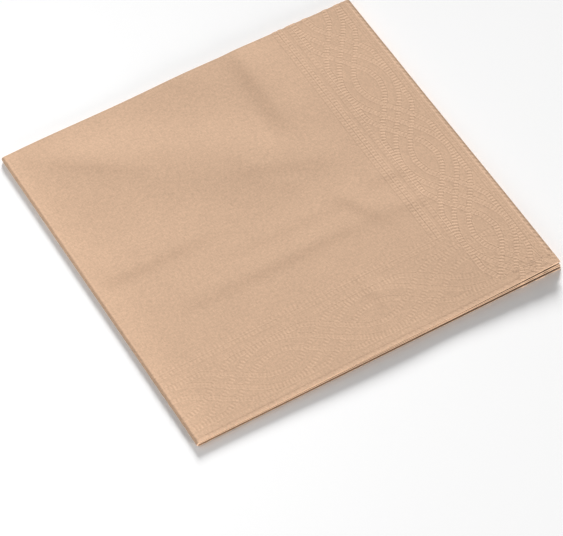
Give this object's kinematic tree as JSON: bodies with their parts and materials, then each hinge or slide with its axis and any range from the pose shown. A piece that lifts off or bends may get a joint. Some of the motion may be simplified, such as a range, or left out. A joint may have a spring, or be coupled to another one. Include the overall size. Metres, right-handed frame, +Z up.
{
  "type": "paper napkin",
  "caption": "Square brown paper napkin folded twice into a quarter, lying flat, with an embossed interlaced border along its two open edges.",
  "frame": {"origin": "middle of the folded square, on the surface that the napkin lies on", "axes": "+X from the second fold to the open side edge, +Y from the open front edge to the first fold, +Z up"},
  "size_m": [0.165, 0.165, 0.0051],
  "materials": {
    "tissue": "matt unbleached tissue"
  },
  "bodies": {
    "root": {"napkin": "tissue"}
  },
  "joints": []
}
